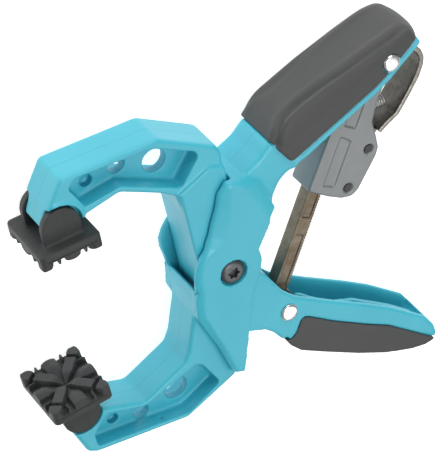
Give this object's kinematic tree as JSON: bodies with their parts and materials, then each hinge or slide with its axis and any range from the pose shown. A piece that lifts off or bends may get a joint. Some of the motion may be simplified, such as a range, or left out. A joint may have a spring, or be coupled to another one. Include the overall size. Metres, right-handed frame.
{
  "type": "ratcheting hand clamp",
  "caption": "Pliers-type plastic hand clamp with swivel pads, a toothed locking bar in a ratchet housing and a sprung release lever.",
  "frame": {"origin": "centre of the box's underside, with the clamp lying on its side, fully open", "axes": "jaws swing in the X-Y plane, every hinge is parallel to +Z, jaws point to -X and handles to +X"},
  "size_m": [0.2494, 0.2262, 0.04],
  "materials": {
    "cyan_nylon": "glass-filled nylon, fine satin mould texture",
    "dark_grip": "soft matte overmould",
    "black_pad": "matte moulded rubber",
    "zinc_housing": "grey cast zinc, matte",
    "brown_steel": "brown oiled steel",
    "lever_steel": "pressed steel with dark mottled faces",
    "rivet_steel": "bright nickel",
    "bolt_steel": "black oxide",
    "pin_steel": "dark hardened steel",
    "spring_steel": "bright zinc plated wire",
    "bush_steel": "turned steel"
  },
  "bodies": {
    "frame": {"clamp_frame": "cyan_nylon", "upper_grip": "dark_grip", "pivot_bolt": "bolt_steel", "pivot_nut": "bolt_steel", "upper_rivet": "rivet_steel", "housing_spacer_near": "bush_steel", "housing_spacer_far": "bush_steel", "lower_pad_pin": "pin_steel"},
    "arm": {"jaw_arm": "cyan_nylon", "lower_grip": "dark_grip", "pivot_bush": "bush_steel", "torsion_spring": "spring_steel", "lower_rivet": "rivet_steel", "bar_spacer_near": "bush_steel", "bar_spacer_far": "bush_steel", "upper_pad_pin": "pin_steel"},
    "upper_pad": {"upper_pad_carrier": "black_pad", "upper_pad_tread": "black_pad"},
    "lower_pad": {"lower_pad_carrier": "black_pad", "lower_pad_tread": "black_pad"},
    "housing": {"ratchet_housing": "zinc_housing", "lever_pin": "pin_steel", "pawl_pin": "pin_steel", "lever_spring": "spring_steel"},
    "bar": {"ratchet_bar": "brown_steel"},
    "lever": {"release_lever": "lever_steel"},
    "pawl": {"pawl": "pin_steel"}
  },
  "joints": [
    {"name": "jaw_pivot", "type": "hinge", "parent": "frame", "child": "arm", "pos_m": [-0.01351, -0.01362, 0.02], "axis": [0, 0, 1], "range_deg": [0, 48.8], "stiffness_Nm_per_rad": 0.6, "springref_deg": -20.05},
    {"name": "upper_pad_swivel", "type": "hinge", "parent": "arm", "child": "upper_pad", "pos_m": [-0.11191, 0.02478, 0.02], "axis": [0, 0, 1], "range_deg": [-25, 8]},
    {"name": "lower_pad_swivel", "type": "hinge", "parent": "frame", "child": "lower_pad", "pos_m": [-0.08631, -0.08832, 0.02], "axis": [0, 0, 1], "range_deg": [-8, 22]},
    {"name": "housing_swing", "type": "hinge", "parent": "frame", "child": "housing", "pos_m": [0.06149, 0.09378, 0.02], "axis": [0, 0, 1], "range_deg": [0, 3]},
    {"name": "bar_slide", "type": "slide", "parent": "housing", "child": "bar", "axis": [0.1994, 0.9799, 0], "range_m": [0, 0.0435]},
    {"name": "lever_pivot", "type": "hinge", "parent": "housing", "child": "lever", "pos_m": [0.06229, 0.04138, 0.02], "axis": [0, 0, 1], "range_deg": [0, 7], "stiffness_Nm_per_rad": 0.8, "springref_deg": -2.86, "deforming": ["lever_spring"]},
    {"name": "pawl_pivot", "type": "hinge", "parent": "housing", "child": "pawl", "pos_m": [0.05389, 0.01998, 0.02], "axis": [0, 0, 1], "range_deg": [-12, 0]}
  ],
  "couplings": [
    {"joint": "housing_swing", "follows": "jaw_pivot", "ratio": 0.048},
    {"joint": "bar_slide", "follows": "jaw_pivot", "m_per_rad": 0.0505},
    {"joint": "upper_pad_swivel", "follows": "jaw_pivot", "ratio": -0.5},
    {"joint": "lower_pad_swivel", "follows": "jaw_pivot", "ratio": 0.44},
    {"joint": "pawl_pivot", "follows": "lever_pivot", "ratio": -1.6}
  ]
}
